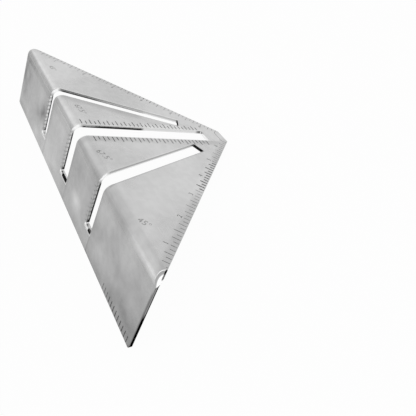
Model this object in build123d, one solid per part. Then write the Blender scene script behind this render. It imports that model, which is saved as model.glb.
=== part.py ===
from build123d import *
import math
import os

# A mitre square folded from one sheet of stainless steel, in millimetres.
# It is drawn lying under its main face: X runs along the fold, the face is at z = 0 and reaches
# from the fold (y = 0) to the right-angled corner, and the flange hangs down at y = 0.
# At the end it is turned to stand as a tent, on the flange's edge and on the cut corner.

# Driving dimensions of the sheet and its outline

fold_length = 254.0  # between the points where the slanted edges would meet the fold
edge_angle = 45.0  # from the fold to each slanted edge, degrees
flange_width = 50.8
sheet = 2.4
bend_radius = 6.5  # on the outside
corner_cut = 7.3  # how far the right-angled corner is cut back, square to the fold
corner_round = 1.0  # at the ends of that cut
end_run = 2.5  # from this far in, a slanted edge runs square to the fold
end_round = 6.0  # where it turns
flange_round = 1.5  # at the flange's free corners

# Driving dimensions of the slots

slot_spread = 22.5  # between the middle slot and each side slot, degrees
middle_slot_width = 13.0
middle_slot_start = 24.5  # from the right-angled corner
side_slot_width = 9.5
side_slot_start = 44.0  # from the right-angled corner
slot_run = 3.4  # from this far in, a side slot runs square to the fold
slot_turn = 4.0  # round where it turns
drop_width = 8.8  # of a side slot in the flange, along the fold
drop_depth = 37.0  # how far every slot reaches down the flange
slot_round = 0.8  # in the slots' inner corners
slot_edge_round = 0.35  # along the slots, on the outside of the sheet

# Driving dimensions of the flat ground across the fold's end at +X, from the unrounded tip

ground_along = 10.0  # along the fold
ground_in = 18.6  # over the main face
ground_down = 8.4  # down the flange

overcut = 10.0  # how far a cutting shape runs past the sheet
touching = 0.001  # nearer than this is on the surface

# Places worked out from them

half_fold = fold_length / 2
edge_slope = math.tan(math.radians(edge_angle))
corner_reach = half_fold * edge_slope
cut_reach = corner_reach - corner_cut
cut_half = corner_cut / edge_slope
end_half = half_fold - end_run / edge_slope
drop_offset = (corner_reach - slot_run) * math.tan(math.radians(slot_spread))


def bent_sheet():
    """The sheet with its fold, full length and not yet cut to its outline."""
    section = Polygon(
        (0, 0),
        (corner_reach, 0),
        (corner_reach, -sheet),
        (sheet, -sheet),
        (sheet, -flange_width),
        (0, -flange_width),
        align=None,
    )
    outside = section.vertices().sort_by_distance((0, 0))[0]
    section = fillet(outside, bend_radius)
    inside = section.vertices().sort_by_distance((sheet, -sheet))[0]
    section = fillet(inside, bend_radius - sheet)
    return extrude(Plane.YZ * section, half_fold, both=True)


def face_outline():
    """The outline seen square to the main face: a triangle whose tips turn square to the fold."""
    outline = Polygon(
        (end_half, -overcut),
        (end_half, end_run),
        (cut_half, cut_reach),
        (-cut_half, cut_reach),
        (-end_half, end_run),
        (-end_half, -overcut),
        align=None,
    )
    turns = outline.vertices().group_by(Axis.Y)[1]
    outline = fillet(turns, end_round)
    cut_ends = outline.vertices().group_by(Axis.Y)[-1]
    return fillet(cut_ends, corner_round)


def flange_outline():
    """The outline seen square to the flange, with round free corners at its lower side."""
    outline = Rectangle(2 * end_half, flange_width + overcut, align=(Align.CENTER, Align.MIN))
    return fillet(outline.vertices().group_by(Axis.Y)[0], flange_round)


def side_slot_face():
    """The side slot that leans to +X, seen square to the main face."""
    lean = math.radians(slot_spread)
    along = Vector(math.sin(lean), -math.cos(lean))
    across = Vector(math.cos(lean), math.sin(lean))
    start = Vector(0, corner_reach) + along * side_slot_start
    near_start = start - across * (side_slot_width / 2)
    far_start = start + across * (side_slot_width / 2)
    near_drop = drop_offset - drop_width / 2
    far_drop = drop_offset + drop_width / 2

    def turn(side_start, drop_side):
        """Where a slanted side of the slot meets the line of its drop's side."""
        return side_start + along * ((drop_side - side_start.X) / along.X)

    outline = Polygon(
        (near_drop, -overcut),
        (far_drop, -overcut),
        turn(far_start, far_drop),
        far_start,
        near_start,
        turn(near_start, near_drop),
        align=None,
    )
    drop_corners = outline.vertices().sort_by_distance((0, corner_reach))[2:4]
    outline = fillet(drop_corners, slot_turn)
    start_corners = outline.vertices().sort_by_distance((0, corner_reach))[:2]
    return fillet(start_corners, slot_round)


def middle_slot_face():
    """The middle slot seen square to the main face."""
    length = corner_reach - middle_slot_start + overcut
    outline = Rectangle(middle_slot_width, length, align=(Align.CENTER, Align.MIN))
    outline = Pos(0, -overcut) * outline
    return fillet(outline.vertices().group_by(Axis.Y)[-1], slot_round)


def slot_cutter(face, offset, width):
    """What a slot takes away: its run over the main face and bend, then its drop in the flange."""
    run = Pos(0, 0, -bend_radius) * extrude(face, bend_radius + overcut)
    drop_face = Rectangle(width, drop_depth - bend_radius, align=(Align.CENTER, Align.MIN))
    drop_face = fillet(drop_face.vertices().group_by(Axis.Y)[0], slot_round)
    drop = Plane.XZ * extrude(drop_face, bend_radius + overcut, both=True)
    return run + Pos(offset, 0, -drop_depth) * drop


def on_outside(edge):
    """Whether an edge lies on the outside of the sheet: the main face, the bend or the flange."""
    middle = edge.position_at(0.5)
    across = max(bend_radius - middle.Y, 0)
    up = max(bend_radius + middle.Z, 0)
    return abs(math.hypot(across, up) - bend_radius) < touching


def slotted(plate):
    """The plate with its three slots, whose edges are rounded on the outside."""
    side_slot = slot_cutter(side_slot_face(), drop_offset, drop_width)
    middle_slot = slot_cutter(middle_slot_face(), 0, middle_slot_width)
    slots = side_slot + mirror(side_slot, Plane.YZ) + middle_slot
    cut = plate - slots
    slot_edges = new_edges(plate, slots, combined=cut)
    return fillet(slot_edges.filter_by(on_outside), slot_edge_round)


def end_ground_flat(plate):
    """Grinds the small flat across the outside of the fold's end at +X."""
    middle_of_flat = Vector(half_fold - ground_along, 0, 0)
    facing = Vector(1 / ground_along, -1 / ground_in, 1 / ground_down)
    return split(plate, Plane(middle_of_flat, z_dir=facing), keep=Keep.BOTTOM)


def folded_plate():
    """The whole square, still lying under its main face."""
    depth = flange_width + overcut
    plate = bent_sheet()
    plate &= Pos(0, 0, -depth) * extrude(face_outline(), 2 * depth)
    flange_shape = Plane.XZ * extrude(flange_outline(), corner_reach, both=True)
    plate &= Pos(0, 0, -flange_width) * flange_shape
    return end_ground_flat(slotted(plate))


def stand_as_tent(plate):
    """Turns the square onto its flange's edge and cut corner, with its origin on the floor."""
    slope = math.degrees(math.atan2(flange_width - sheet, cut_reach - sheet))
    plate = Rot(-slope, 0, 0) * plate
    box = plate.bounding_box()
    return Pos(0, -box.center().Y, -box.min.Z) * plate


os.makedirs("parts", exist_ok=True)
export_step(stand_as_tent(folded_plate()), "parts/folded_plate.step")
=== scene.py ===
import math
import bmesh
import bpy
from mathutils import Euler, Matrix, Vector


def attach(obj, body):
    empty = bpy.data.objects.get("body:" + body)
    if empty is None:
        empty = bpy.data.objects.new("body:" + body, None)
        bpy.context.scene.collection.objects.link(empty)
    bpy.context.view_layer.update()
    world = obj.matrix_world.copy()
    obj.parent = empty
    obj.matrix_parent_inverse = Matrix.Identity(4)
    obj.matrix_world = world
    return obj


# A mitre square folded from brushed stainless steel, with its engraved scales, in metres.
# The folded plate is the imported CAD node. Its material and every mark are laid out while the
# plate lies under its main face, as the part's source draws it: x runs along the fold, the main
# face is at z = 0 and reaches from the fold (y = 0) to the right-angled corner, and the flange
# hangs down at y = 0. One matrix then stands them all up with the plate.

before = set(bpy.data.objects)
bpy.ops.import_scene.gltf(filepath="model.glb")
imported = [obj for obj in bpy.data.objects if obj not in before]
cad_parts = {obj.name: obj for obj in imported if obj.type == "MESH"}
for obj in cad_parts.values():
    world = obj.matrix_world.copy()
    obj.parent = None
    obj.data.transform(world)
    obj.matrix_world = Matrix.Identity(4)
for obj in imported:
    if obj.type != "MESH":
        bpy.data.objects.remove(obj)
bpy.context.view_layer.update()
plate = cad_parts["folded_plate"]


def mm(*lengths):
    """Lengths in millimetres as a tuple of metres."""
    return tuple(length / 1000 for length in lengths)


# Sizes of the plate, as in the part's source

fold_length = 0.254
flange_width = 0.0508
sheet = 0.0024
bend_radius = 0.0065
corner_cut = 0.0073
slot_spread = math.radians(22.5)
middle_slot_width = 0.013
side_slot_width = 0.0095
side_slot_start = 0.044
slot_run = 0.0034
drop_width = 0.0088
drop_depth = 0.037
slot_edge_round = 0.00035
ground_along = 0.01
ground_in = 0.0186
ground_down = 0.0084

half_fold = fold_length / 2
cut_reach = half_fold - corner_cut
drop_offset = (half_fold - slot_run) * math.tan(slot_spread)

# Where the lying plate stands as a tent

slope = math.atan2(flange_width - sheet, cut_reach - sheet)
stand_back = (flange_width * math.sin(slope) - cut_reach * math.cos(slope)) / 2
stand_up = flange_width * math.cos(slope) + sheet * math.sin(slope)
tent = Matrix.Translation((0, stand_back, stand_up)) @ Matrix.Rotation(-slope, 4, "X")

# The engraving

pitch = 0.003175  # one eighth of an inch
per_inch = 8
mark_height = 0.00002  # of the filled mark over the skin
mark_root = 0.00008  # how far it goes into the steel
joined_within = 0.0000001  # corners of a letter nearer than this become one

first_edge_tick = 3
last_edge_tick = 52
edge_tick_turn = math.radians(135)  # from the fold to straight inward from a slanted edge
edge_gap = 0.0004  # between the plate's edge and a tick
edge_tick_width = 0.00028
short_tick = 0.0034
even_tick = 0.0052
half_inch_tick = 0.0062
inch_tick = 0.0039
numeral_size = 0.0042
numeral_depth = 0.0064  # from the edge to a numeral's middle
numeral_thinner = 0.00004

# The slanted edges' scales: name, side, shift of the ticks in pitches, bold ticks and their width

edge_scales = (
    ("near_edge_scale", 1, 0.28, range(27, 40), 0.00085),
    ("far_edge_scale", -1, 0.68, range(31, 35), 0.00045),
)

# The line at the cut corner

corner_line_from = (0.0069, cut_reach - 0.0054)
corner_line_length = 0.0115
corner_line_width = 0.0004

# The middle slot's scales: side, numbers of the first and last tick, and how far number 0 is
# from the fold

slot_scales = ((1, 1, 29, 0.00615), (-1, -1, 28, 0.00992))
slot_tick_gap = 0.0009
slot_tick_lengths = (0.0037, 0.0055)  # at even and at odd numbers
slot_tick_width = 0.00058

# The scale at the flange's long edge, and the ones along the drops of the slots

lower_ticks = 12
lower_tick_from = 0.0858
lower_tick_length = 0.0045
thin_lower_ticks = 3
thin_lower_tick_width = 0.0004
lower_tick_width = 0.0007
drop_ticks = range(3, 12)
drop_tick_length = 0.0018
drop_tick_width = 0.00022

# The angle figures: place, words and turn in degrees

angle_figures = (
    (0.0885, 0.0088, "45°", 32),
    (0.0285, 0.0088, "67.5°", 22),
    (-0.0265, 0.0115, "67.5°", 10),
    (-0.0885, 0.009, "45°", 10),
)
angle_size = 0.0056
angle_thinner = 0.00005

# What a ramp runs between, and the tones of the steel

rising = (0.0, 1.0)
falling = (1.0, 0.0)
noise_middle = (0.3, 0.7)
white = 1.0
shade_black = 0.02
end_black_tone = 0.03
blue_share = 0.995  # of a fixed grey, which makes it a touch warm


class Tree:
    """Short calls for the few kinds of node that the materials and the world use."""

    def __init__(self, owner):
        owner.use_nodes = True
        self.nodes = owner.node_tree.nodes
        self.links = owner.node_tree.links
        self.nodes.clear()

    def set(self, socket, value):
        """Links the socket to another one, or gives it a fixed value."""
        if isinstance(value, bpy.types.NodeSocket):
            self.links.new(value, socket)
        else:
            socket.default_value = value

    def lying(self):
        """Where a point is on the lying plate."""
        place = self.nodes.new("ShaderNodeTexCoord")
        turn = self.nodes.new("ShaderNodeMapping")
        back = tent.inverted()
        self.set(turn.inputs["Vector"], place.outputs["Object"])
        turn.inputs["Location"].default_value = back.to_translation()
        turn.inputs["Rotation"].default_value = back.to_euler()
        return turn.outputs["Vector"]

    def math(self, operation, first, second=0.0):
        node = self.nodes.new("ShaderNodeMath")
        node.operation = operation
        self.set(node.inputs[0], first)
        self.set(node.inputs[1], second)
        return node.outputs["Value"]

    def add(self, first, *others):
        for other in others:
            first = self.math("ADD", first, other)
        return first

    def times(self, first, *others):
        for other in others:
            first = self.math("MULTIPLY", first, other)
        return first

    def less(self, first, second):
        return self.math("SUBTRACT", first, second)

    def most(self, first, second):
        return self.math("MAXIMUM", first, second)

    def size(self, value):
        return self.math("ABSOLUTE", value)

    def rest(self, share):
        """What a share leaves of 1."""
        return self.less(1.0, share)

    def blend(self, share, first, second):
        """A number between two."""
        return self.add(first, self.times(share, self.less(second, first)))

    def vector(self, operation, *values):
        node = self.nodes.new("ShaderNodeVectorMath")
        node.operation = operation
        for socket, value in zip(node.inputs, values):
            self.set(socket, value)
        return node.outputs["Value" if operation in ("LENGTH", "DOT_PRODUCT") else "Vector"]

    def dot(self, place, direction):
        return self.vector("DOT_PRODUCT", place, direction)

    def length(self, vector):
        return self.vector("LENGTH", vector)

    def parts(self, vector):
        node = self.nodes.new("ShaderNodeSeparateXYZ")
        self.set(node.inputs["Vector"], vector)
        return node.outputs

    def joined(self, x, y):
        """A vector of two numbers, flat."""
        node = self.nodes.new("ShaderNodeCombineXYZ")
        self.set(node.inputs["X"], x)
        self.set(node.inputs["Y"], y)
        return node.outputs["Vector"]

    def noise(self, place, scale, detail=2.0, shift=(0.0, 0.0, 0.0)):
        """Noise from 0 to 1. Its three scales differ where it is drawn out."""
        node = self.nodes.new("ShaderNodeTexNoise")
        node.inputs["Detail"].default_value = detail
        node.inputs["Scale"].default_value = 1.0
        self.set(node.inputs["Vector"], self.vector("MULTIPLY_ADD", place, scale, shift))
        return node.outputs["Fac"]

    def ramp(self, value, span, to=rising):
        """While the value crosses the span, a smooth step between two numbers."""
        node = self.nodes.new("ShaderNodeMapRange")
        node.interpolation_type = "SMOOTHSTEP"
        names = ("Value", "From Min", "From Max", "To Min", "To Max")
        for name, setting in zip(names, (value, *span, *to)):
            self.set(node.inputs[name], setting)
        return node.outputs["Result"]

    def box(self, value, span, soft):
        """1 within the span, falling to 0 over a soft length outside of it."""
        low, high = span
        rise = self.ramp(value, (low - soft, low))
        return self.times(rise, self.ramp(value, (high, high + soft), falling))

    def strip(self, value, begin, fade, share):
        """A strip that begins sharply and fades out, with its share where it is full."""
        return self.times(self.ramp(value, begin), self.ramp(value, fade, (share, 0.0)))

    def mix(self, share, first, second):
        """A colour between two."""
        node = self.nodes.new("ShaderNodeMix")
        node.data_type = "RGBA"
        self.set(node.inputs["Factor"], share)
        self.set(node.inputs["A"], first)
        self.set(node.inputs["B"], second)
        return node.outputs["Result"]

    def grey_of(self, level):
        """The grey colour of a tone."""
        colour = self.nodes.new("ShaderNodeCombineColor")
        for channel in ("Red", "Green", "Blue"):
            self.set(colour.inputs[channel], level)
        return colour.outputs["Color"]

    def bump(self, height, distance, strength=1.0, normal=None):
        node = self.nodes.new("ShaderNodeBump")
        node.inputs["Distance"].default_value = distance
        node.inputs["Strength"].default_value = strength
        self.set(node.inputs["Height"], height)
        if normal:
            self.set(node.inputs["Normal"], normal)
        return node.outputs["Normal"]

    def end_in_mix(self, share, first, second, kind):
        """Ends the tree in a mix of two shaders, in an output of the kind."""
        both = self.nodes.new("ShaderNodeMixShader")
        output = self.nodes.new(kind)
        self.set(both.inputs["Fac"], share)
        self.links.new(first, both.inputs[1])
        self.links.new(second, both.inputs[2])
        self.links.new(both.outputs["Shader"], output.inputs["Surface"])


def grey(level):
    """A fixed grey, as a colour."""
    return (level, level, level * blue_share, 1.0)


def new_material(name):
    """A material with its tree and the inputs of its principled shader."""
    material = bpy.data.materials.new(name)
    tree = Tree(material)
    shader = tree.nodes.new("ShaderNodeBsdfPrincipled")
    output = tree.nodes.new("ShaderNodeOutputMaterial")
    tree.links.new(shader.outputs["BSDF"], output.inputs["Surface"])
    return material, tree, shader.inputs


# Where along x a tone passes from one slot to the next: the far one is at -X, the near one at +X

far_slot_end = mm(-16, -12)
near_slot_begin = mm(8, 10.5)
far_drop_end = mm(-50, -10)
near_drop_begin = mm(20, 40)
middle_drop_end = mm(20, 30)  # to both sides


class Point:
    """Where a shaded point is on the lying plate, and at which slot, as sockets of one tree."""

    def __init__(self, tree):
        self.place = tree.lying()
        self.x, self.y, self.z = tree.parts(self.place)
        self.across = tree.size(self.x)
        self.from_edge = tree.less(half_fold, tree.add(self.across, self.y))
        self.depth = sheet_depth(tree, self.place)
        self.turned = tree.add(self.y, self.z)  # how far over the bend, from flange to face
        self.far_slot = tree.ramp(self.x, far_slot_end, falling)
        self.near_slot = tree.ramp(self.x, near_slot_begin)
        self.beside_drop = from_drop(tree, self.x)
        self.over_drop_end = tree.add(self.z, drop_depth)
        half = tree.ramp(self.across, middle_drop_end, (middle_slot_width / 2, drop_width / 2))
        self.past_drop = tree.less(tree.size(self.beside_drop), half)


def sheet_depth(tree, place):
    """How deep a point lies under the outside skin of the folded sheet."""
    reach = tree.vector("MULTIPLY_ADD", place, (0, -1, 1), (0, bend_radius, bend_radius))
    reach = tree.vector("MAXIMUM", reach, (0, 0, 0))
    return tree.less(bend_radius, tree.length(reach))


def from_drop(tree, x):
    """How far a point is to the +X side of the nearest drop's middle."""
    nearest = tree.math("ROUND", tree.math("DIVIDE", x, drop_offset))
    nearest = tree.most(tree.math("MINIMUM", nearest, 1.0), -1.0)
    return tree.less(x, tree.times(nearest, drop_offset))


def down_side_slot(tree, place, side):
    """How far a point is from the right-angled corner along a side slot; side is 1 or -1."""
    from_corner = tree.vector("SUBTRACT", place, (0, half_fold, 0))
    return tree.dot(from_corner, (side * math.sin(slot_spread), -math.cos(slot_spread), 0))


def outside_side_slot(tree, place, side):
    """How far a point is to the outer side of a side slot's middle line."""
    from_corner = tree.vector("SUBTRACT", place, (0, half_fold, 0))
    return tree.dot(from_corner, (side * math.cos(slot_spread), math.sin(slot_spread), 0))


def by_slot(tree, at, on_far, on_middle, on_near):
    """A number that differs from slot to slot of the main face."""
    far = tree.times(at.far_slot, on_far - on_middle)
    near = tree.times(at.near_slot, on_near - on_middle)
    return tree.add(on_middle, far, near)


# Painted shade on the slots' walls: a black band near the skin, in a stretch near the fold

dark_border = mm(0, 0.3)
dark_begins = mm(6, 8)
dark_until = mm(64, 52, 6)  # on the far, middle and near slot
dark_fades = mm(-3, 1)
far_dark_thins = mm(24, 36)
far_dark_thinned = 0.3
torn_scale = (900.0, 900.0, 900.0)
torn_reach = 0.0003


def torn_edge(tree, at):
    """How far the jagged edge of the painted black shade wanders."""
    return tree.ramp(tree.noise(at.place, torn_scale), noise_middle, (0.0, torn_reach))


def dark_stretch(tree, at):
    """How much painted black shade a slot's wall has, along its run over the main face."""
    past_end = tree.less(at.y, by_slot(tree, at, *dark_until))
    stretch = tree.ramp(past_end, dark_fades, falling)
    thinning = tree.times(at.far_slot, tree.ramp(at.y, far_dark_thins, (0.0, far_dark_thinned)))
    return tree.times(stretch, tree.rest(thinning))


# The slots' walls in the main face: light tones that differ from slot to slot and lighten deeper
# in, as painted light, and a dark end of painted shade where the middle slot starts. Three
# numbers are for the far, middle and near slot.

face_wall_tones = (0.53, 0.71, 0.38)
face_wall_lightens = mm(1.1, 2.1)
deep_wall_tone = 0.8
dimmed_in_stretch = (0.22, 0.4, 0.4)
dark_end_along = mm(96.5, 100.5)
dark_end_across = mm(-7.5, -4)
dark_end_soft = 0.001
dark_end_share = 0.75
face_torn_run = mm(12, 19)
face_torn_from = mm(1.2, 0.6)
far_torn_run = mm(26, 34)
far_torn_from = mm(1.3, 1.6)


def face_wall(tree, at):
    """The slots' walls in the main face: light tones as painted light, with painted black shade
    in a stretch near the fold.
    """
    stretch = dark_stretch(tree, at)
    dark_end = tree.times(
        tree.ramp(at.y, dark_end_along),
        tree.box(at.x, dark_end_across, dark_end_soft),
        dark_end_share,
    )
    dimmed = tree.times(stretch, by_slot(tree, at, *dimmed_in_stretch))
    tones = (by_slot(tree, at, *face_wall_tones), deep_wall_tone)
    light = tree.ramp(at.depth, face_wall_lightens, tones)
    light = tree.times(light, tree.rest(dark_end), tree.rest(dimmed))

    on_others = tree.ramp(at.y, face_torn_run, face_torn_from)
    on_far = tree.ramp(at.y, far_torn_run, far_torn_from)
    torn_from = tree.add(tree.blend(at.far_slot, on_others, on_far), torn_edge(tree, at))
    dark_band = tree.ramp(tree.less(at.depth, torn_from), dark_border)
    dark_band = tree.times(dark_band, tree.ramp(at.y, dark_begins), stretch)
    return tree.blend(dark_band, light, shade_black)


# The slots' walls in the flange, and their lower ends, in painted light and shade

notch_wave = (0.0, 0.9)
notch_share = 0.4
drop_tone_run = mm(-60, 60)
drop_tones = (0.74, 0.43)
drop_dims_over = mm(0, 20)
drop_dimmed = (0.8, 1.0)
drop_torn_run = mm(-55, 60)
drop_torn_from = mm(1.4, 1.1)
drop_end_near = mm(0.4, 2.2)
drop_end_near_soft = 0.0004
drop_end_torn_from = mm(1.2, 0.6)

drop_end_height = mm(-0.8, 0.1)
drop_end_soft = 0.0003
end_shade_slant = 5.0
end_shade_from = mm(-3, -0.2)  # at the middle drop, and at the side ones
end_shade_border = mm(-0.3, 0.3)
end_shade_depth = mm(1.2, 1.5)
near_end_shade = 0.85
far_end_shade = 0.1


def drop_wall(tree, at):
    """The slots' walls in the flange: notched by the scale, in painted light, with a jagged band
    of painted black shade.
    """
    notch = tree.math("SINE", tree.times(at.z, 2 * math.pi / pitch))
    notch = tree.ramp(notch, notch_wave, (0.0, notch_share))
    light = tree.times(
        tree.ramp(at.x, drop_tone_run, drop_tones),
        tree.rest(notch),
        tree.ramp(at.over_drop_end, drop_dims_over, drop_dimmed),
    )
    torn_from = tree.add(tree.ramp(at.x, drop_torn_run, drop_torn_from), torn_edge(tree, at))
    near_end = tree.box(at.over_drop_end, drop_end_near, drop_end_near_soft)
    torn_at_end = tree.ramp(at.x, far_drop_end, drop_end_torn_from)
    torn_from = tree.blend(near_end, torn_from, torn_at_end)
    dark_band = tree.ramp(tree.less(at.depth, torn_from), dark_border)
    tone = tree.blend(dark_band, light, shade_black)
    # At the drops' lower ends the wall is painted white as a highlight, and black as shade
    # towards +X.
    end_tone = tree.blend(drop_end_shade(tree, at), white, shade_black)
    return tree.blend(at_drop_end(tree, at), tone, end_tone)


def at_drop_end(tree, at):
    """The share of a wall that lies at the height of the drops' lower ends."""
    return tree.box(at.over_drop_end, drop_end_height, drop_end_soft)


def drop_end_shade(tree, at):
    """How black the painted shade on the wall at a drop's lower end is: only near the skin,
    towards +X.
    """
    along = tree.add(at.beside_drop, tree.times(at.depth, end_shade_slant))
    soot_from = tree.ramp(at.across, middle_drop_end, end_shade_from)
    return tree.times(
        tree.ramp(tree.less(along, soot_from), end_shade_border),
        tree.ramp(at.depth, end_shade_depth, falling),
        tree.ramp(at.x, near_drop_begin, (1.0, near_end_shade)),
        tree.ramp(at.x, far_drop_end, (far_end_shade, 1.0)),
    )


# The wall across the flange's +X end, painted grey and black as shade

end_skin_depth = mm(0.1, 0.9)
end_skin_tones = (0.13, 0.24)
end_deep = mm(1.2, 1.9)
end_deep_share = 0.3
end_dark_below = mm(-30.5, -23.5)
end_dark_share = 0.18
end_top = (-sheet - 0.0004, -sheet - 0.0001)
end_top_share = 0.15


def end_wall(tree, at):
    """The wall across the flange's +X end: painted shade, grey, and black towards its lower
    corner.
    """
    return tree.times(
        tree.ramp(at.depth, end_skin_depth, end_skin_tones),
        tree.ramp(at.depth, end_deep, (1.0, end_deep_share)),
        tree.ramp(at.z, end_dark_below, (end_dark_share, 1.0)),
        tree.ramp(at.z, end_top, (1.0, end_top_share)),
    )


# Where each of the cut walls is. The walls in the bend are painted lighter towards the main face,
# and the middle slot's start wall white, as highlights; the side slots' start walls are painted
# black as shade

start_along = (side_slot_start + 0.0002, side_slot_start + 0.0006)
start_beside = (side_slot_width / 2, side_slot_width / 2 + 0.0005)
past_middle_slot = (middle_slot_width / 2 + 0.0004, middle_slot_width / 2 + 0.0008)
flange_walls = mm(-7.2, -6.2)
bend_walls_within = mm(4, 7.5)
bend_walls_over = mm(-7.5, -5)
bend_wall_run = mm(-6.2, -3.5)
bend_wall_tones = (0.5, 1.0)
middle_start_along = (half_fold - 0.0248, half_fold - 0.0235)
middle_start_soft = 0.0004
middle_start_across = (0.0, middle_slot_width / 2)
middle_start_side_soft = 0.0002
end_walls_past = mm(118, 120)


def side_slot_starts(tree, at):
    """The share of the side slots' start walls, which are painted black as shade."""
    mirrored = tree.vector("ABSOLUTE", at.place)
    beside = tree.size(outside_side_slot(tree, mirrored, 1))
    return tree.times(
        tree.ramp(at.across, past_middle_slot),
        tree.ramp(down_side_slot(tree, mirrored, 1), start_along, falling),
        tree.ramp(beside, start_beside, falling),
    )


def cut_wall_tone(tree, at):
    """All the cut walls: of the slots in the main face, of their drops, and of the ends, with
    painted highlights in the bend and at the middle slot's start.
    """
    on_flange = tree.ramp(at.z, flange_walls, falling)
    tone = tree.blend(on_flange, face_wall(tree, at), drop_wall(tree, at))
    on_bend = tree.times(
        tree.ramp(at.y, bend_walls_within, falling),
        tree.ramp(at.z, bend_walls_over),
    )
    tone = tree.blend(on_bend, tone, tree.ramp(at.z, bend_wall_run, bend_wall_tones))
    middle_start = tree.times(
        tree.box(at.y, middle_start_along, middle_start_soft),
        tree.box(at.across, middle_start_across, middle_start_side_soft),
    )
    tone = tree.blend(middle_start, tone, white)
    tone = tree.blend(side_slot_starts(tree, at), tone, shade_black)
    return tree.blend(tree.ramp(at.across, end_walls_past), tone, end_wall(tree, at))


# Dark skin close to the +X side of the drops: where the side is, how it fades, its share

side_shade_begin = mm(-0.2, 0)
side_shade_fade = mm(0.5, 5)
side_line_fade = mm(0.4, 1.3)
drop_side_shades = (
    (drop_offset + drop_width / 2, side_shade_fade, 0.1),
    (-drop_offset + drop_width / 2, side_shade_fade, 0.17),
    (drop_offset + drop_width / 2, side_line_fade, 0.16),
    (middle_slot_width / 2, side_shade_fade, 0.16),
)
drop_shade_below = mm(-9, -6.5)

# And beside the far slot on the main face

far_shade_edge = mm(0, 0.2)
far_shade_fade = mm(-9, -1)
far_shade_share = 0.2
far_shade_until = mm(52, 60)
far_shade_beyond = mm(-12, -9)
far_shade_over = mm(-3, 0)


def slot_side_shade(tree, at):
    """How much the skin darkens close to the +X side of the slots."""
    on_flange = 0.0
    for side, fade, share in drop_side_shades:
        past = tree.less(at.x, side)
        on_flange = tree.add(on_flange, tree.strip(past, side_shade_begin, fade, share))
    on_flange = tree.times(on_flange, tree.ramp(at.z, drop_shade_below, falling))

    past = tree.add(outside_side_slot(tree, at.place, -1), side_slot_width / 2)
    on_face = tree.times(
        tree.ramp(past, far_shade_edge, falling),
        tree.ramp(past, far_shade_fade, (0.0, far_shade_share)),
        tree.ramp(at.y, far_shade_until, falling),
        tree.ramp(at.x, far_shade_beyond, falling),
        tree.ramp(at.z, far_shade_over),
    )
    return tree.add(on_flange, on_face)


# Darker skin along the scales, and where it is clearer again

edge_shade_fade = mm(4, 9.5)
edge_shade_run = mm(-10, 30)
edge_shades = (0.05, 0.15)
beside_slot = mm(-5, 5)
slot_shade_begin = mm(6.8, 8)
slot_shade_fade = mm(10.5, 14.5)
slot_shades = (-0.03, 0.15)
clear_soft = 0.01
clear_edge_fade = mm(5, 11)
clear_edge_along = mm(58, 82)
clear_edge_begin = mm(0, 20)
clear_edge_share = 0.15
clear_slot_across = mm(7.2, 11.5)
clear_slot_across_soft = 0.001
clear_slot_along = mm(56, 82)
clear_slot_shares = (0.16, 0.1)


def scale_shade(tree, at):
    """How much the skin darkens along the scales of the main face."""
    edge = tree.times(
        tree.ramp(at.from_edge, edge_shade_fade, falling),
        tree.ramp(at.x, edge_shade_run, edge_shades),
    )
    slot = tree.times(
        tree.ramp(at.across, slot_shade_fade, falling),
        tree.ramp(at.x, beside_slot, slot_shades),
        tree.ramp(at.across, slot_shade_begin),
    )
    clear_edge = tree.times(
        tree.ramp(at.from_edge, clear_edge_fade, (clear_edge_share, 0.0)),
        tree.box(at.y, clear_edge_along, clear_soft),
        tree.ramp(at.x, clear_edge_begin),
    )
    clear_slot = tree.times(
        tree.box(at.across, clear_slot_across, clear_slot_across_soft),
        tree.box(at.y, clear_slot_along, clear_soft),
        tree.ramp(at.x, beside_slot, clear_slot_shares),
    )
    shade = tree.less(tree.most(edge, slot), tree.add(clear_edge, clear_slot))
    return tree.times(shade, tree.ramp(at.z, (-bend_radius, 0.0)))


# A strip of painted shade along the flange's lower edge, widest and darkest towards the +X tip, a
# dark line along that edge, and a dark line up its +X end

lower_shade_run = mm(50, 120)
lower_shade_heights = mm(9, 34)
lower_shade_share_run = mm(20, 110)
lower_shade_shares = (0.07, 0.28)
edge_line_fade = mm(0.3, 1)
edge_line_share = 0.26
edge_line_along = mm(14, 80)
edge_line_soft = 0.01
end_line_run = (half_fold - 0.0036, half_fold - 0.0027)
end_line_share = 0.42
end_line_below = mm(-12, -8)


def flange_edge_shade(tree, at):
    """How much the skin darkens along the flange's lower edge and its +X end: a strip of painted
    shade and dark lines.
    """
    rise = tree.add(at.z, flange_width)
    height = tree.ramp(at.x, lower_shade_run, lower_shade_heights)
    lower_shade = tree.times(
        tree.ramp(rise, (0.0, height), falling),
        tree.ramp(at.x, lower_shade_share_run, lower_shade_shares),
    )
    line = tree.times(
        tree.ramp(rise, edge_line_fade, (edge_line_share, 0.0)),
        tree.box(at.x, edge_line_along, edge_line_soft),
    )
    end_line = tree.times(
        tree.ramp(at.x, end_line_run, (0.0, end_line_share)),
        tree.ramp(at.z, end_line_below, falling),
    )
    return tree.most(tree.add(lower_shade, line), end_line)


# Painted highlights along the slots' edges on the main face, and one darker rim

middle_rim_fade = mm(0.4, 1.2)
middle_rim_gain = 0.22
rim_begin = mm(-0.6, -0.4)
rim_fade = mm(0.3, 1.1)
rim_gains = {-1: 0.2, 1: 0.1}  # of the far and the near slot
rim_along = (side_slot_start - 0.0004, side_slot_start + 0.0004)
rims_until = mm(100, 104)
rims_over = mm(-3, -1)
dark_rim_fade = mm(0.3, 1.4)
dark_rim_share = 0.2
dark_rim_beyond = mm(8, 12)


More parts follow.
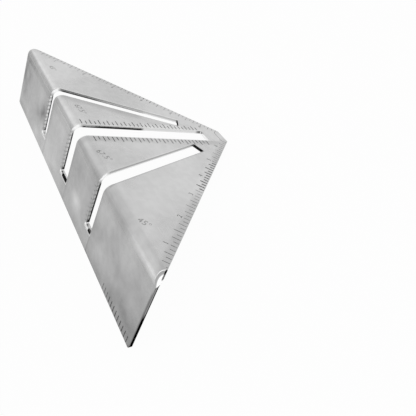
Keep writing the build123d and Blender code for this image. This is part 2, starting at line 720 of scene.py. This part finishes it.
def slot_rims(tree, at):
    """How much brighter the skin is along the slots' edges on the main face, as painted
    highlights.
    """
    beside = tree.less(at.across, middle_slot_width / 2)
    rims = tree.ramp(beside, middle_rim_fade, (middle_rim_gain, 0.0))
    for side, gain in rim_gains.items():
        beside = tree.times(outside_side_slot(tree, at.place, side), -side)
        past = tree.less(beside, side_slot_width / 2)
        rim = tree.strip(past, rim_begin, rim_fade, gain)
        started = tree.ramp(down_side_slot(tree, at.place, side), rim_along)
        rims = tree.add(rims, tree.times(rim, started))
    rims = tree.times(rims, tree.ramp(at.y, rims_until, falling))

    # A darker rim along the near slot's +X side, on the main face.
    past = tree.less(outside_side_slot(tree, at.place, 1), side_slot_width / 2)
    worn = tree.times(
        tree.strip(past, rim_begin, dark_rim_fade, dark_rim_share),
        tree.ramp(at.x, dark_rim_beyond),
        tree.ramp(down_side_slot(tree, at.place, 1), rim_along),
    )
    return tree.times(tree.less(rims, worn), tree.ramp(at.z, rims_over))


# The bend's painted light: painted shade in its +X half, a painted highlight at its +X end and
# over most of its round, and painted shade where it runs out into the flange

bend_shade_middle = 0.0003
bend_shade_fade = mm(1, 5.5)
bend_shade_begins = mm(20, 65)
bend_shade_ends = mm(80, 110)
bend_shade_share = 0.17
highlight_middle = -0.0031
highlight_fade = mm(0.3, 3)
highlight_begins = mm(80, 115)
highlight_gain = 0.5
light_middle_run = mm(-80, 20)
light_middles = mm(-1.7, 0.6)
light_fade = mm(1.2, 5.2)
light_gain_run = mm(-80, -30)
light_gains = (0.2, 0.14)
low_light = mm(-5, -2.5)
low_light_soft = 0.001
low_light_gain = 0.12
under_bend = mm(-9.5, -6.2)
under_bend_soft = 0.0015
under_bend_run = mm(-60, 50)
under_bend_shades = (0.12, 0.03)
under_bend_skin = mm(0.6, 1)
far_root = mm(-8.5, -5.8)
far_root_soft = 0.0008
far_root_run = mm(-70, -45)
far_root_share = 0.07


def bend_gain(tree, at):
    """How much lighter than plain skin the bend is, as painted highlights."""
    middle = tree.ramp(at.x, light_middle_run, light_middles)
    gain = tree.ramp(at.x, light_gain_run, light_gains)
    lifted = tree.ramp(tree.size(tree.less(at.turned, middle)), light_fade, (gain, 0.0))
    low = tree.times(tree.box(at.turned, low_light, low_light_soft), low_light_gain)
    highlight = tree.times(
        tree.ramp(tree.size(tree.less(at.turned, highlight_middle)), highlight_fade, falling),
        tree.ramp(at.x, highlight_begins, (0.0, highlight_gain)),
    )
    return tree.add(lifted, low, highlight)


def bend_shade(tree, at):
    """How much painted shade the bend has; less than nothing where it has painted highlights."""
    shaded = tree.times(
        tree.ramp(tree.size(tree.less(at.turned, bend_shade_middle)), bend_shade_fade, falling),
        tree.ramp(at.x, bend_shade_begins, (0.0, bend_shade_share)),
        tree.ramp(at.x, bend_shade_ends, falling),
    )
    under = tree.times(
        tree.box(at.z, under_bend, under_bend_soft),
        tree.ramp(at.x, under_bend_run, under_bend_shades),
        tree.ramp(at.y, under_bend_skin, falling),
    )
    root = tree.times(
        tree.box(at.turned, far_root, far_root_soft),
        tree.ramp(at.x, far_root_run, (far_root_share, 0.0)),
    )
    return tree.less(tree.add(shaded, under, root), bend_gain(tree, at))


# The skin round each drop's lower end: a painted bright rim, a black edge of painted shade, and a
# painted glint

end_skin_within = mm(0.3, 0.5)  # of the flange's outside
low_rim_reach = mm(0.4, 0.8)
low_rim_height = mm(-2, -0.4)
low_rim_soft = 0.0004
low_rim_run = mm(-10, 40)
low_rim_tones = (0.67, 0.6)
end_black_reach = mm(-0.4, 0)
end_black_height = mm(-1.3, 0.4)
end_black_soft = 0.0002
end_black_from = mm(-3, 0.2)  # at the middle drop, and at the side ones
end_black_border = mm(-0.6, 0.6)
glint_reach = mm(0.6, 1)
glint_height = mm(-0.8, 0.5)
glint_soft = 0.0004

# The bead bumped into the skin there, and matte white painted on it and on the end wall as a
# highlight

bead_beside = mm(1, 4.2)  # towards -X from the drop's middle: at the far drop, and at the others
bead_back_at_near = 0.0018
bead_below = 0.0009
bead_stretch = (0.8, 1.3, 1.0)
bead_radius = 0.0019
bead_height = 0.0007
bead_shows = (0.0, 0.3)
white_reach = mm(0, 0.4)
white_matte = 0.8


def on_flange_skin(tree, at):
    """1 on the flange's outside, and 0 deeper in."""
    return tree.ramp(at.y, end_skin_within, falling)


def molten_bead(tree, at):
    """How far the small bead at each drop's lower end stands out, from 0 to 1."""
    back = tree.ramp(at.x, near_drop_begin, (0.0, bead_back_at_near))
    beside = tree.less(tree.ramp(at.x, far_drop_end, bead_beside), back)
    away = tree.joined(tree.add(at.beside_drop, beside), tree.add(at.over_drop_end, bead_below))
    away = tree.vector("MULTIPLY", away, bead_stretch)
    bead = tree.ramp(tree.length(away), (0.0, bead_radius), falling)
    return tree.times(bead, on_flange_skin(tree, at))


def drop_end_white(tree, at, wall, bead):
    """The share of matte white painted as a highlight at the drops' lower ends, which mirrors
    nothing.
    """
    on_wall = tree.times(
        at_drop_end(tree, at),
        tree.ramp(at.past_drop, white_reach, falling),
        tree.rest(drop_end_shade(tree, at)),
        wall,
    )
    return tree.most(on_wall, tree.ramp(bead, bead_shows))


def with_drop_ends(tree, at, tone, bead):
    """The tone with each drop's lower end: a painted bright rim, a black edge of painted shade
    and a painted glint towards -X.
    """
    skin = on_flange_skin(tree, at)
    rim = tree.times(
        tree.ramp(at.past_drop, low_rim_reach, falling),
        tree.box(at.over_drop_end, low_rim_height, low_rim_soft),
        skin,
    )
    tone = tree.blend(rim, tone, tree.ramp(at.x, low_rim_run, low_rim_tones))

    begin = tree.ramp(at.across, middle_drop_end, end_black_from)
    black_here = tree.ramp(tree.less(at.beside_drop, begin), end_black_border)
    black_shade = tree.times(
        tree.ramp(at.past_drop, end_black_reach, falling),
        tree.box(at.over_drop_end, end_black_height, end_black_soft),
        black_here,
        skin,
        tree.ramp(at.x, far_drop_end),
    )
    tone = tree.blend(black_shade, tone, end_black_tone)

    glint = tree.times(
        tree.ramp(at.past_drop, glint_reach, falling),
        tree.box(at.over_drop_end, glint_height, glint_soft),
        tree.rest(black_here),
    )
    return tree.blend(tree.most(glint, tree.ramp(bead, bead_shows)), tone, white)


# The flat that is ground across the fold's +X end, with painted highlights and shade

flat_within = mm(0.03, 0.09)
flat_tones = (0.38, 1.0)
flat_grey_run = mm(-8, 0)
flat_grey_until = mm(0.2, 1)
flat_grey_border = mm(0, 0.5)
flat_line_depth = mm(0.05, 0.22)
flat_line_over = mm(-4, -1)
flat_shade_within = mm(0.8, 1.4)
flat_shade_over = mm(-4, -3)
flat_shade_loss = 1.4


def with_ground_flat(tree, at, tone):
    """The tone with the ground flat: a white painted highlight with a grey border, a bright
    painted line at its top, and black painted shade at its tip.
    """
    facing = Vector((1 / ground_along, -1 / ground_in, 1 / ground_down)).normalized()
    off = tree.less(tree.dot(at.place, facing), facing.x * (half_fold - ground_along))
    flat = tree.ramp(tree.size(off), flat_within, falling)

    grey_until = tree.ramp(at.z, flat_grey_run, flat_grey_until)
    bright = tree.ramp(tree.less(at.depth, grey_until), flat_grey_border)
    bright_line = tree.times(
        tree.ramp(at.depth, flat_line_depth, falling),
        tree.ramp(at.z, flat_line_over),
    )
    black_shade = tree.times(
        tree.ramp(at.from_edge, flat_shade_within, falling),
        tree.ramp(at.z, flat_shade_over),
        flat_shade_loss,
    )
    bright = tree.less(tree.most(bright, bright_line), black_shade)
    return tree.blend(flat, tone, tree.blend(bright, *flat_tones))


# The skin's clouds: scales, where in the noise they are taken, and how bright they are.
# A program found the scales, the places and the face's tones, by matching the noise to where the
# photo's skin is lighter or darker. The report names the rules that this may break.

cloud_detail = 3.0
face_cloud_scale = (22.4, 21.3, 28.3)
face_cloud_place = (-103.2365, -104.5411, -182.1496)
face_cloud_tones = (0.878, 1.067)
flange_cloud_scale = (20.3, 21.9, 16.9)
flange_cloud_place = (25.1426, -38.9261, -120.2099)
# The flange's tones are lower than the face's: painted shade on the flange.
flange_cloud_tones = (0.57, 0.865)

# Darker and lighter places on the flange, partly painted shade and light and partly the steel's
# own
# unevenness: x, distance below the fold, reach along, reach down, and how much darker or lighter
# they are in their middle. They were typed one by one, each from how the photo's level differed
# from the render's at its place.

flange_patches = (
    (-0.117, 0.02, 0.026, 0.025, -0.21),
    (-0.061, 0.024, 0.011, 0.013, -0.22),
    (-0.072, 0.047, 0.02, 0.009, 0.12),
    (-0.071, 0.016, 0.014, 0.008, 0.1),
    (0.027, 0.036, 0.013, 0.009, 0.3),
    (0.061, 0.014, 0.02, 0.016, 0.22),
    (0.114, 0.03, 0.016, 0.012, 0.14),
    (0.094, 0.045, 0.034, 0.015, -0.13),
    (0.09, 0.037, 0.012, 0.007, 0.09),
    (0.104, 0.043, 0.01, 0.006, 0.09),
    (0.125, 0.051, 0.004, 0.004, -0.3),
    (-0.11, 0.049, 0.022, 0.008, -0.2),
    (0.034, 0.048, 0.022, 0.006, -0.15),
    (-0.02, 0.048, 0.014, 0.005, -0.11),
    (0.076, 0.048, 0.012, 0.005, -0.14),
    (0.108, 0.047, 0.014, 0.006, 0.14),
    (-0.109, 0.037, 0.022, 0.01, -0.09),
    (-0.07, 0.03, 0.014, 0.009, -0.14),
    (0.096, 0.028, 0.012, 0.008, -0.13),
    (0.052, 0.035, 0.008, 0.007, 0.12),
    (0.02, 0.016, 0.016, 0.013, -0.09),
    (-0.045, 0.014, 0.01, 0.01, -0.07),
    (0.077, 0.011, 0.012, 0.006, 0.09),
    (-0.114, 0.019, 0.006, 0.009, 0.1),
    (-0.098, 0.008, 0.01, 0.006, -0.03),
    (-0.076, 0.033, 0.012, 0.009, -0.05),
    (0.086, 0.022, 0.013, 0.009, -0.08),
)

# Finer unevenness of the skin

skin_level = 0.6
mottle_scale = (210.0, 210.0, 210.0)
mottle_detail = 3.0
mottle_middle = (0.35, 0.65)
brushing_scale = (90.0, 5200.0, 5200.0)
brushing_height = 0.00002
brushing_strength = 0.5
fine_tones = (-0.015, 0.015)


def clouds(tree, at):
    """How bright the cloudy skin is, most uneven on the flange, which is darker as painted shade.
    """
    on_face = tree.noise(at.place, face_cloud_scale, cloud_detail, face_cloud_place)
    on_face = tree.ramp(on_face, noise_middle, face_cloud_tones)
    on_flange = tree.noise(at.place, flange_cloud_scale, cloud_detail, flange_cloud_place)
    on_flange = tree.ramp(on_flange, noise_middle, flange_cloud_tones)
    return tree.blend(tree.ramp(at.z, (-bend_radius, 0.0)), on_flange, on_face)


def flange_patch_change(tree, at):
    """How much a few darker and lighter places on the flange differ from the rest, partly as
    painted shade and light.
    """
    change = 0.0
    for x, drop, wide, high, share in flange_patches:
        away = tree.vector("SUBTRACT", at.place, (x, 0, -drop))
        away = tree.vector("MULTIPLY", away, (1 / wide, 1 / bend_radius, 1 / high))
        change = tree.add(change, tree.ramp(tree.length(away), rising, (share, 0.0)))
    return change


def skin_tone(tree, at, cloud, brushing):
    """The outside of the sheet: clouds, darker and lighter patches, fine brushing, and all its
    painted shade and light.
    """
    mottle = tree.noise(at.place, mottle_scale, mottle_detail)
    skin = tree.times(tree.add(cloud, flange_patch_change(tree, at)), skin_level)
    skin = tree.add(skin, tree.ramp(mottle, mottle_middle, fine_tones))
    skin = tree.add(skin, tree.ramp(brushing, noise_middle, fine_tones))
    on_face = tree.less(scale_shade(tree, at), slot_rims(tree, at))
    elsewhere = tree.add(flange_edge_shade(tree, at), slot_side_shade(tree, at))
    return tree.times(skin, tree.rest(tree.add(on_face, elsewhere, bend_shade(tree, at))))


# Where the skin ends and the walls begin, and how the steel shines

wall_begins = (slot_edge_round * 0.3, slot_edge_round)
wall_ends = (sheet - 0.0001, sheet - 0.00004)
untinted_from = (0.03, 0.3)
rough_bend_run = mm(-20, 50)
bend_roughness = (0.03, 0.22)
bend_rough_within = (0.004, bend_radius)
cloud_levels = (0.8, 1.2)
skin_roughness = (0.25, 0.31)


def wall_share(tree, at):
    """1 on the cut walls, and 0 on the outside and the inside of the sheet."""
    return tree.times(
        tree.ramp(at.depth, wall_begins),
        tree.ramp(at.depth, wall_ends, falling),
    )


def satin(tree, at, cloud):
    """The roughness of the steel, with more of it over the middle of the bend, most towards +X.
    """
    on_bend = tree.ramp(at.x, rough_bend_run, bend_roughness)
    on_bend = tree.ramp(tree.size(at.turned), bend_rough_within, (on_bend, 0.0))
    return tree.add(on_bend, tree.ramp(cloud, cloud_levels, skin_roughness))


def brushed_steel():
    """Stainless steel: softly brushed and cloudy, with sheared and partly dark cut walls."""
    material, tree, inputs = new_material("brushed_steel")
    at = Point(tree)
    cloud = clouds(tree, at)
    brushing = tree.noise(at.place, brushing_scale)
    wall = wall_share(tree, at)
    bead = molten_bead(tree, at)

    skin = skin_tone(tree, at, cloud, brushing)
    tone = tree.blend(wall, skin, cut_wall_tone(tree, at))
    tone = with_drop_ends(tree, at, tone, bead)
    tone = with_ground_flat(tree, at, tone)
    # Matte white painted as a highlight at the drops' lower ends.
    matte = tree.times(drop_end_white(tree, at, wall, bead), white_matte)

    tree.set(inputs["Base Color"], tree.grey_of(tone))
    tree.set(inputs["Specular Tint"], tree.grey_of(tree.ramp(tone, untinted_from)))
    tree.set(inputs["Metallic"], tree.rest(matte))
    tree.set(inputs["Roughness"], satin(tree, at, cloud))
    brushed = tree.bump(brushing, brushing_height, brushing_strength)
    tree.set(inputs["Normal"], tree.bump(bead, bead_height, 1.0, brushed))
    return material


# The dark fill of the marks: how dark it is where it is fresh, and where it is worn

fresh_fill = (0.03, 0.2)
worn_fill = (0.2, 0.42)
wear_scale = (700.0, 700.0, 700.0)
wear_detail = 3.0
wear_middle = (0.45, 0.75)
fill_roughness = 0.6
fill_metallic = 0.3


def engraving_fill(name, fresh, worn):
    """The fill of engraved marks, between two greys."""
    material, tree, inputs = new_material(name)
    wear = tree.noise(tree.lying(), wear_scale, wear_detail)
    wear = tree.ramp(wear, wear_middle)
    tree.set(inputs["Base Color"], tree.mix(wear, grey(fresh), grey(worn)))
    inputs["Roughness"].default_value = fill_roughness
    inputs["Metallic"].default_value = fill_metallic
    return material


def face_frame(x, y, reading=0.0):
    """A place on the main face, with its reading direction turned from the fold's."""
    return Matrix.Translation((x, y, 0)) @ Matrix.Rotation(reading, 4, "Z")


def flange_frame(x, drop, reading=0.0):
    """A place on the flange, drop below the fold, seen from outside."""
    outward = Matrix.Rotation(math.radians(90), 4, "X")
    return Matrix.Translation((x, 0, -drop)) @ outward @ Matrix.Rotation(reading, 4, "Z")


class Marks:
    """One engraved piece: ticks and words on the lying plate."""

    def __init__(self, name):
        self.name = name
        self.mesh = bmesh.new()

    def tick(self, place, length, width):
        """A filled line from the place along its own y."""
        low = Vector((-width / 2, 0, -mark_root))
        high = Vector((width / 2, length, mark_height))
        centre = (low + high) / 2
        for corner in bmesh.ops.create_cube(self.mesh, size=1.0)["verts"]:
            corner.co = place @ (centre + corner.co * (high - low))

    def word(self, place, text, size, thinner):
        """Filled letters about the place, reading along its x."""
        letters = bpy.data.curves.new("letters", "FONT")
        letters.body = text
        letters.size = size
        letters.align_x = "CENTER"
        letters.align_y = "CENTER"
        letters.extrude = (mark_height + mark_root) / 2
        letters.offset = -thinner
        holder = bpy.data.objects.new("letters", letters)
        solid = bpy.data.meshes.new_from_object(holder)
        middle = Matrix.Translation((0, 0, (mark_height - mark_root) / 2))
        solid.transform(place @ middle)
        self.mesh.from_mesh(solid)
        bpy.data.objects.remove(holder)
        bpy.data.curves.remove(letters)
        bpy.data.meshes.remove(solid)

    def finish(self, material):
        """Stands the marks up with the plate, as one piece that rides on it."""
        mesh = bpy.data.meshes.new(self.name)
        bmesh.ops.remove_doubles(self.mesh, verts=self.mesh.verts, dist=joined_within)
        bmesh.ops.recalc_face_normals(self.mesh, faces=self.mesh.faces)
        self.mesh.transform(tent)
        self.mesh.to_mesh(mesh)
        self.mesh.free()
        piece = bpy.data.objects.new(self.name, mesh)
        bpy.context.scene.collection.objects.link(piece)
        mesh.materials.append(material)
        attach(piece, "root")


def edge_tick_length(count):
    """How long a tick of an edge scale is, by its place in the inch."""
    if count % per_inch == 0:
        return inch_tick
    if count % (per_inch // 2) == 0:
        return half_inch_tick
    return even_tick if count % 2 == 0 else short_tick


def edge_scale(name, side, shift, bold, bold_width, material):
    """Ticks and inch numerals along a slanted edge; side is 1 at +X, and -1 at -X."""
    marks = Marks(name)
    for count in range(first_edge_tick, last_edge_tick + 1):
        along = (count + shift) * pitch / math.sqrt(2)
        foot = face_frame(side * (half_fold - along), along, side * edge_tick_turn)
        if count % per_inch == 0:
            middle = foot @ Matrix.Translation((0, numeral_depth, 0))
            marks.word(middle, str(count // per_inch), numeral_size, numeral_thinner)
        to_bend = (along - bend_radius) * math.sqrt(2)
        length = min(edge_tick_length(count), to_bend) - edge_gap
        width = bold_width if count in bold else edge_tick_width
        marks.tick(foot @ Matrix.Translation((0, edge_gap, 0)), length, width)
    marks.finish(material)


def cut_corner_line(material):
    """The line engraved along the cut corner."""
    marks = Marks("cut_corner_line")
    place = face_frame(*corner_line_from, math.radians(90))
    marks.tick(place, corner_line_length, corner_line_width)
    marks.finish(material)


def middle_slot_scale(material):
    """Ticks away from both sides of the middle slot, parallel to the fold."""
    marks = Marks("middle_slot_scale")
    beside = middle_slot_width / 2 + slot_tick_gap
    for side, first, last, zero in slot_scales:
        for count in range(first, last + 1):
            place = face_frame(side * beside, zero + count * pitch, -side * math.radians(90))
            marks.tick(place, slot_tick_lengths[count % 2], slot_tick_width)
    marks.finish(material)


def flange_edge_scale(material):
    """Ticks up from the flange's long edge near the +X tip."""
    marks = Marks("flange_edge_scale")
    for count in range(lower_ticks):
        place = flange_frame(lower_tick_from + count * pitch, flange_width - edge_gap)
        width = thin_lower_tick_width if count < thin_lower_ticks else lower_tick_width
        marks.tick(place, lower_tick_length, width)
    marks.finish(material)


def flange_slot_scale(material):
    """Fine ticks towards -X along each slot's drop down the flange."""
    marks = Marks("flange_slot_scale")
    middles = (-drop_offset, 0.0, drop_offset)
    halves = (drop_width / 2, middle_slot_width / 2, drop_width / 2)
    for middle, half in zip(middles, halves):
        for count in drop_ticks:
            place = flange_frame(middle - half - edge_gap, count * pitch, math.radians(90))
            marks.tick(place, drop_tick_length, drop_tick_width)
    marks.finish(material)


def angle_marks(material):
    """A small angle figure in each strip, close to the fold."""
    marks = Marks("angle_marks")
    for x, y, text, turn in angle_figures:
        marks.word(face_frame(x, y, math.radians(turn)), text, angle_size, angle_thinner)
    marks.finish(material)


# The floor and the studio

floor_half = 3.0
floor_grey = 0.7
floor_white = 0.965
floor_white_in_mirrors = 0.95
room_grey = 0.8
full_white = (1.0, 1.0, 1.0, 1.0)
dim_front = (-0.15, 0.18)
front_levels = (0.64, 0.97)
dim_above = (0.5, 0.7)
dimmed_above = 0.14

# The lamps: name, azimuth from -X towards +Y, elevation, distance, width, height, brightness

lamps = (
    ("window", -5, 30, 1.5, 1.0, 0.36, 0.2),
    ("side_box", -60, 42, 1.2, 0.5, 0.5, 0.7),
    ("back_box", 167, 47, 1.3, 0.8, 0.8, 0.5),
)

# The photograph's viewpoint, from a perspective fit of the plate's edges

lens_length = 37.743
sensor_width = 36.0
lens_shift = (-0.0033, -0.1064)
nearest_seen = 0.01
camera_place = (0.22963, -0.08624, 0.21533)
camera_turn = (48.529, -1.810, 60.216)


def seen_as_white(tree, to_camera, in_mirrors):
    """The share of white for rays from the camera, and for mirrored and refracted rays."""
    rays = tree.nodes.new("ShaderNodeLightPath").outputs
    mirrored = tree.most(rays["Is Glossy Ray"], rays["Is Transmission Ray"])
    mirrored = tree.times(mirrored, in_mirrors)
    return tree.add(tree.times(rays["Is Camera Ray"], to_camera), mirrored)


def pale_floor():
    """A white floor that keeps the plate's soft shadow, most of all in the steel."""
    mesh = bpy.data.meshes.new("floor")
    low, high = -floor_half, floor_half
    corners = [(low, low, 0), (high, low, 0), (high, high, 0), (low, high, 0)]
    mesh.from_pydata(corners, [], [(0, 1, 2, 3)])
    floor = bpy.data.objects.new("floor", mesh)
    bpy.context.scene.collection.objects.link(floor)
    material = bpy.data.materials.new("floor")
    tree = Tree(material)
    matte = tree.nodes.new("ShaderNodeBsdfDiffuse")
    matte.inputs["Color"].default_value = grey(floor_grey)
    glow = tree.nodes.new("ShaderNodeEmission")
    glow.inputs["Color"].default_value = full_white
    share = seen_as_white(tree, floor_white, floor_white_in_mirrors)
    shaders = (matte.outputs["BSDF"], glow.outputs["Emission"])
    tree.end_in_mix(share, *shaders, "ShaderNodeOutputMaterial")
    mesh.materials.append(material)


def studio():
    """A white room, a little dimmer in front of the flange and high above."""
    world = bpy.data.worlds.new("studio")
    bpy.context.scene.world = world
    tree = Tree(world)
    room = tree.nodes.new("ShaderNodeBackground")
    room.inputs["Color"].default_value = grey(room_grey)
    bright = tree.nodes.new("ShaderNodeBackground")
    bright.inputs["Color"].default_value = full_white
    towards = tree.nodes.new("ShaderNodeTexCoord").outputs["Generated"]
    in_steel = tree.ramp(tree.dot(towards, (0, 1, 1)), dim_front, front_levels)
    above = tree.ramp(tree.dot(towards, (0, 0, 1)), dim_above, (0.0, dimmed_above))
    to_camera = tree.nodes.new("ShaderNodeLightPath").outputs["Is Camera Ray"]
    tree.set(bright.inputs["Strength"], tree.most(tree.less(in_steel, above), to_camera))
    shaders = (room.outputs["Background"], bright.outputs["Background"])
    tree.end_in_mix(seen_as_white(tree, 1.0, 1.0), *shaders, "ShaderNodeOutputWorld")


def soft_lamp(name, azimuth, elevation, distance, wide, high, brightness):
    """A lamp that faces the fold's middle, with its angles in degrees."""
    lamp = bpy.data.lights.new(name, "AREA")
    lamp.shape = "RECTANGLE"
    lamp.size = wide
    lamp.size_y = high
    lamp.energy = brightness * math.pi * wide * high
    holder = bpy.data.objects.new(name, lamp)
    bpy.context.scene.collection.objects.link(holder)
    turn = math.radians(azimuth)
    rise = math.radians(elevation)
    level = math.cos(rise)
    away = Vector((-math.cos(turn) * level, math.sin(turn) * level, math.sin(rise)))
    holder.location = tent.to_translation() + away * distance
    holder.rotation_mode = "QUATERNION"
    holder.rotation_quaternion = away.to_track_quat("Z", "Y")


def camera():
    """The camera at the photograph's viewpoint."""
    lens = bpy.data.cameras.new("camera")
    lens.lens = lens_length
    lens.sensor_width = sensor_width
    lens.shift_x, lens.shift_y = lens_shift
    lens.clip_start = nearest_seen
    holder = bpy.data.objects.new("camera", lens)
    holder.location = camera_place
    holder.rotation_euler = Euler([math.radians(turn) for turn in camera_turn])
    bpy.context.scene.collection.objects.link(holder)
    bpy.context.scene.camera = holder


steel = brushed_steel()
dark = engraving_fill("engraving_fill", *fresh_fill)
faint = engraving_fill("worn_fill", *worn_fill)
for slot in plate.material_slots:
    slot.material = steel

for scale in edge_scales:
    edge_scale(*scale, dark)
middle_slot_scale(dark)
cut_corner_line(faint)
flange_edge_scale(dark)
flange_slot_scale(dark)
angle_marks(faint)

pale_floor()
studio()
for lamp in lamps:
    soft_lamp(*lamp)
camera()
bpy.context.scene.view_settings.view_transform = "Standard"
